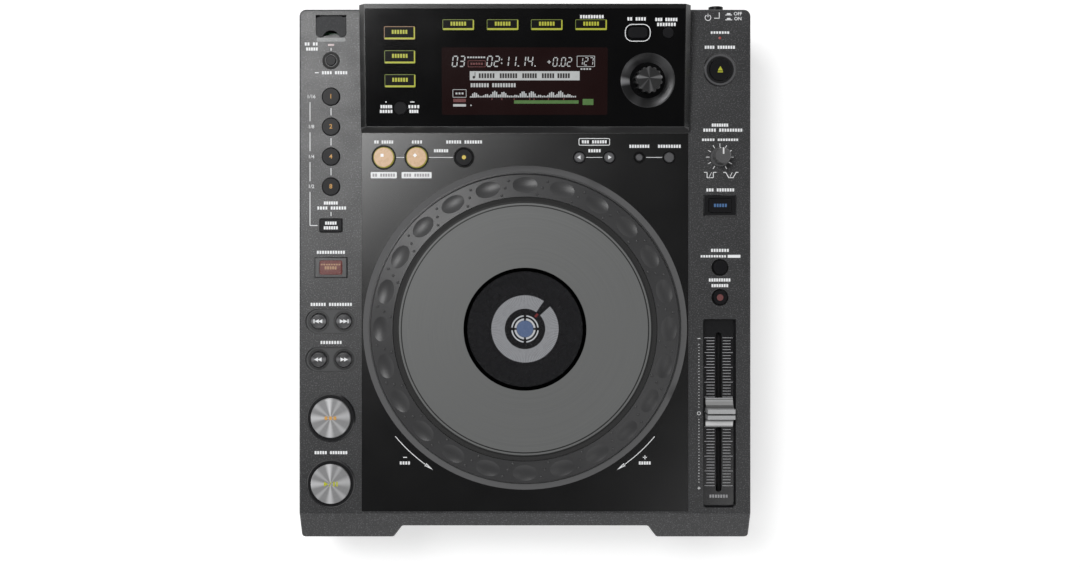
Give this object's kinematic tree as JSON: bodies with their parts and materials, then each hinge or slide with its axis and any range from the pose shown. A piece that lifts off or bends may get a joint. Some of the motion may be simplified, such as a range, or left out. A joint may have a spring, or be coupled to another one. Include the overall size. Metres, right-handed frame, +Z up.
{
  "type": "tabletop dj cd player",
  "caption": "Tabletop disc player with a large jog wheel on a gloss deck, a raised display hood, side wings of buttons, a tempo fader and a disc slot in the front.",
  "frame": {"origin": "middle of the bounding box at table level", "axes": "+Y to the rear wall with the sockets, +Z up, +X to the fader side"},
  "size_m": [0.305, 0.3664, 0.1042],
  "materials": {
    "button_black": "satin",
    "spun_aluminium": "spun",
    "lit_key": "lit from below",
    "case_charcoal": "fine grained",
    "gloss_black": "piano gloss",
    "board": "solder mask",
    "steel": "plain",
    "case_steel": "satin black",
    "knob_black": "satin",
    "satin_silver": "satin",
    "jog_black": "satin",
    "platter_grey": "satin metallic",
    "dark_window": "gloss",
    "socket_black": "plain",
    "foot_rubber": "matte",
    "roller_rubber": "matte"
  },
  "bodies": {
    "case": {"top_case": "case_charcoal", "centre_panel": "gloss_black", "display_panel": "gloss_black", "display_module": "board", "fader_track": "steel", "jog_hub": "jog_black", "jog_display": "dark_window", "key_board": "board", "chassis": "case_steel", "rear_sockets": "socket_black", "feet": "foot_rubber", "screws": "steel", "main_board": "board", "drive_frame": "steel"},
    "jog_wheel": {"jog_ring": "jog_black"},
    "jog_top": {"jog_plate": "platter_grey", "jog_window": "dark_window"},
    "usb_stop_button": {"usb_stop_button": "button_black"},
    "beat_button_1": {"beat_button_1": "button_black"},
    "beat_button_2": {"beat_button_2": "button_black"},
    "beat_button_4": {"beat_button_4": "button_black"},
    "beat_button_8": {"beat_button_8": "button_black"},
    "beat_select_button": {"beat_select_button": "button_black"},
    "direction_button": {"direction_button": "button_black"},
    "track_back_button": {"track_back_button": "button_black"},
    "track_forward_button": {"track_forward_button": "button_black"},
    "search_back_button": {"search_back_button": "button_black"},
    "search_forward_button": {"search_forward_button": "button_black"},
    "cue_button": {"cue_button": "spun_aluminium"},
    "play_button": {"play_button": "spun_aluminium"},
    "eject_button": {"eject_button": "button_black"},
    "jog_mode_button": {"jog_mode_button": "button_black"},
    "tempo_range_button": {"tempo_range_button": "button_black"},
    "master_tempo_button": {"master_tempo_button": "button_black"},
    "loop_in_button": {"loop_in_button": "lit_key"},
    "loop_out_button": {"loop_out_button": "lit_key"},
    "reloop_button": {"reloop_button": "button_black"},
    "call_back_button": {"call_back_button": "button_black"},
    "call_forward_button": {"call_forward_button": "button_black"},
    "delete_button": {"delete_button": "button_black"},
    "memory_button": {"memory_button": "button_black"},
    "source_button_1": {"source_button_1": "lit_key"},
    "source_button_2": {"source_button_2": "lit_key"},
    "source_button_3": {"source_button_3": "lit_key"},
    "time_mode_button": {"time_mode_button": "button_black"},
    "menu_button_1": {"menu_button_1": "lit_key"},
    "menu_button_2": {"menu_button_2": "lit_key"},
    "menu_button_3": {"menu_button_3": "lit_key"},
    "menu_button_4": {"menu_button_4": "lit_key"},
    "back_button": {"back_button": "button_black"},
    "tag_button": {"tag_button": "button_black"},
    "power_button": {"power_button": "button_black"},
    "selector_shaft": {"selector_shaft": "steel"},
    "selector_knob": {"selector_knob": "knob_black"},
    "adjust_knob": {"adjust_knob": "knob_black"},
    "fader_cap": {"fader_cap": "satin_silver"},
    "usb_door": {"usb_door": "case_charcoal"},
    "loading_roller": {"loading_roller": "roller_rubber"},
    "turntable": {"turntable": "jog_black"},
    "optical_pickup": {"optical_pickup": "socket_black"}
  },
  "joints": [
    {"name": "selector_press", "type": "slide", "parent": "case", "child": "selector_shaft", "axis": [0, 0.1045, -0.9945], "range_m": [0, 0.0006], "stiffness_N_per_m": 600, "springref_m": -0.002},
    {"name": "selector_turn", "type": "hinge", "parent": "selector_shaft", "child": "selector_knob", "pos_m": [0.0817, 0.12545, 0.09223], "axis": [0, -0.1045, 0.9945], "continuous": true},
    {"name": "adjust_turn", "type": "hinge", "parent": "case", "child": "adjust_knob", "pos_m": [0.13165, 0.07545, 0.08], "axis": [0, 0, -1], "range_deg": [-150, 150]},
    {"name": "tempo_slide", "type": "slide", "parent": "case", "child": "fader_cap", "axis": [0, 1, 0], "range_m": [-0.05, 0.05]},
    {"name": "usb_door_hinge", "type": "hinge", "parent": "case", "child": "usb_door", "pos_m": [-0.131, 0.1699, 0.0788], "axis": [-1, 0, 0], "range_deg": [0, 95]},
    {"name": "jog_turn", "type": "hinge", "parent": "case", "child": "jog_wheel", "pos_m": [0, -0.03975, 0.08], "axis": [0, 0, 1], "continuous": true},
    {"name": "jog_press", "type": "slide", "parent": "jog_wheel", "child": "jog_top", "axis": [0, 0, -1], "range_m": [0, 0.0004], "stiffness_N_per_m": 4000, "springref_m": -0.001},
    {"name": "roller_turn", "type": "hinge", "parent": "case", "child": "loading_roller", "pos_m": [0, -0.15195, 0.0417], "axis": [1, 0, 0], "continuous": true},
    {"name": "disc_turn", "type": "hinge", "parent": "case", "child": "turntable", "pos_m": [0, -0.1014, 0.048], "axis": [0, 0, 1], "continuous": true},
    {"name": "pickup_slide", "type": "slide", "parent": "case", "child": "optical_pickup", "axis": [0, 1, 0], "range_m": [0, 0.025]},
    {"name": "cue_press", "type": "slide", "parent": "case", "child": "cue_button", "axis": [0, 0, -1], "range_m": [0, 0.001], "stiffness_N_per_m": 300, "springref_m": -0.002},
    {"name": "play_press", "type": "slide", "parent": "case", "child": "play_button", "axis": [0, 0, -1], "range_m": [0, 0.001], "stiffness_N_per_m": 300, "springref_m": -0.002},
    {"name": "loop_in_press", "type": "slide", "parent": "case", "child": "loop_in_button", "axis": [0, 0, -1], "range_m": [0, 0.0006], "stiffness_N_per_m": 300, "springref_m": -0.002},
    {"name": "source_press_1", "type": "slide", "parent": "case", "child": "source_button_1", "axis": [0, 0.1045, -0.9945], "range_m": [0, 0.0006], "stiffness_N_per_m": 300, "springref_m": -0.002},
    {"name": "power_press", "type": "slide", "parent": "case", "child": "power_button", "axis": [0, -1, 0], "range_m": [0, 0.0025], "stiffness_N_per_m": 300, "springref_m": -0.002},
    {"name": "usb_stop_press", "type": "slide", "parent": "case", "child": "usb_stop_button", "axis": [0, 0, -1], "range_m": [0, 0.0006], "stiffness_N_per_m": 300, "springref_m": -0.002},
    {"name": "beat_press_1", "type": "slide", "parent": "case", "child": "beat_button_1", "axis": [0, 0, -1], "range_m": [0, 0.0006], "stiffness_N_per_m": 300, "springref_m": -0.002},
    {"name": "beat_press_2", "type": "slide", "parent": "case", "child": "beat_button_2", "axis": [0, 0, -1], "range_m": [0, 0.0006], "stiffness_N_per_m": 300, "springref_m": -0.002},
    {"name": "beat_press_4", "type": "slide", "parent": "case", "child": "beat_button_4", "axis": [0, 0, -1], "range_m": [0, 0.0006], "stiffness_N_per_m": 300, "springref_m": -0.002},
    {"name": "beat_press_8", "type": "slide", "parent": "case", "child": "beat_button_8", "axis": [0, 0, -1], "range_m": [0, 0.0006], "stiffness_N_per_m": 300, "springref_m": -0.002},
    {"name": "beat_select_press", "type": "slide", "parent": "case", "child": "beat_select_button", "axis": [0, 0, -1], "range_m": [0, 0.0006], "stiffness_N_per_m": 300, "springref_m": -0.002},
    {"name": "direction_press", "type": "slide", "parent": "case", "child": "direction_button", "axis": [0, 0, -1], "range_m": [0, 0.0006], "stiffness_N_per_m": 300, "springref_m": -0.002},
    {"name": "track_back_press", "type": "slide", "parent": "case", "child": "track_back_button", "axis": [0, 0, -1], "range_m": [0, 0.0006], "stiffness_N_per_m": 300, "springref_m": -0.002},
    {"name": "track_forward_press", "type": "slide", "parent": "case", "child": "track_forward_button", "axis": [0, 0, -1], "range_m": [0, 0.0006], "stiffness_N_per_m": 300, "springref_m": -0.002},
    {"name": "search_back_press", "type": "slide", "parent": "case", "child": "search_back_button", "axis": [0, 0, -1], "range_m": [0, 0.0006], "stiffness_N_per_m": 300, "springref_m": -0.002},
    {"name": "search_forward_press", "type": "slide", "parent": "case", "child": "search_forward_button", "axis": [0, 0, -1], "range_m": [0, 0.0006], "stiffness_N_per_m": 300, "springref_m": -0.002},
    {"name": "eject_press", "type": "slide", "parent": "case", "child": "eject_button", "axis": [0, 0, -1], "range_m": [0, 0.0006], "stiffness_N_per_m": 300, "springref_m": -0.002},
    {"name": "jog_mode_press", "type": "slide", "parent": "case", "child": "jog_mode_button", "axis": [0, 0, -1], "range_m": [0, 0.0006], "stiffness_N_per_m": 300, "springref_m": -0.002},
    {"name": "tempo_range_press", "type": "slide", "parent": "case", "child": "tempo_range_button", "axis": [0, 0, -1], "range_m": [0, 0.0006], "stiffness_N_per_m": 300, "springref_m": -0.002},
    {"name": "master_tempo_press", "type": "slide", "parent": "case", "child": "master_tempo_button", "axis": [0, 0, -1], "range_m": [0, 0.0006], "stiffness_N_per_m": 300, "springref_m": -0.002},
    {"name": "loop_out_press", "type": "slide", "parent": "case", "child": "loop_out_button", "axis": [0, 0, -1], "range_m": [0, 0.0006], "stiffness_N_per_m": 300, "springref_m": -0.002},
    {"name": "reloop_press", "type": "slide", "parent": "case", "child": "reloop_button", "axis": [0, 0, -1], "range_m": [0, 0.0006], "stiffness_N_per_m": 300, "springref_m": -0.002},
    {"name": "call_back_press", "type": "slide", "parent": "case", "child": "call_back_button", "axis": [0, 0, -1], "range_m": [0, 0.0006], "stiffness_N_per_m": 300, "springref_m": -0.002},
    {"name": "call_forward_press", "type": "slide", "parent": "case", "child": "call_forward_button", "axis": [0, 0, -1], "range_m": [0, 0.0006], "stiffness_N_per_m": 300, "springref_m": -0.002},
    {"name": "delete_press", "type": "slide", "parent": "case", "child": "delete_button", "axis": [0, 0, -1], "range_m": [0, 0.0006], "stiffness_N_per_m": 300, "springref_m": -0.002},
    {"name": "memory_press", "type": "slide", "parent": "case", "child": "memory_button", "axis": [0, 0, -1], "range_m": [0, 0.0006], "stiffness_N_per_m": 300, "springref_m": -0.002},
    {"name": "source_press_2", "type": "slide", "parent": "case", "child": "source_button_2", "axis": [0, 0.1045, -0.9945], "range_m": [0, 0.0006], "stiffness_N_per_m": 300, "springref_m": -0.002},
    {"name": "source_press_3", "type": "slide", "parent": "case", "child": "source_button_3", "axis": [0, 0.1045, -0.9945], "range_m": [0, 0.0006], "stiffness_N_per_m": 300, "springref_m": -0.002},
    {"name": "time_mode_press", "type": "slide", "parent": "case", "child": "time_mode_button", "axis": [0, 0.1045, -0.9945], "range_m": [0, 0.0006], "stiffness_N_per_m": 300, "springref_m": -0.002},
    {"name": "menu_press_1", "type": "slide", "parent": "case", "child": "menu_button_1", "axis": [0, 0.1045, -0.9945], "range_m": [0, 0.0006], "stiffness_N_per_m": 300, "springref_m": -0.002},
    {"name": "menu_press_2", "type": "slide", "parent": "case", "child": "menu_button_2", "axis": [0, 0.1045, -0.9945], "range_m": [0, 0.0006], "stiffness_N_per_m": 300, "springref_m": -0.002},
    {"name": "menu_press_3", "type": "slide", "parent": "case", "child": "menu_button_3", "axis": [0, 0.1045, -0.9945], "range_m": [0, 0.0006], "stiffness_N_per_m": 300, "springref_m": -0.002},
    {"name": "menu_press_4", "type": "slide", "parent": "case", "child": "menu_button_4", "axis": [0, 0.1045, -0.9945], "range_m": [0, 0.0006], "stiffness_N_per_m": 300, "springref_m": -0.002},
    {"name": "back_press", "type": "slide", "parent": "case", "child": "back_button", "axis": [0, 0.1045, -0.9945], "range_m": [0, 0.0006], "stiffness_N_per_m": 300, "springref_m": -0.002},
    {"name": "tag_press", "type": "slide", "parent": "case", "child": "tag_button", "axis": [0, 0.1045, -0.9945], "range_m": [0, 0.0006], "stiffness_N_per_m": 300, "springref_m": -0.002}
  ]
}
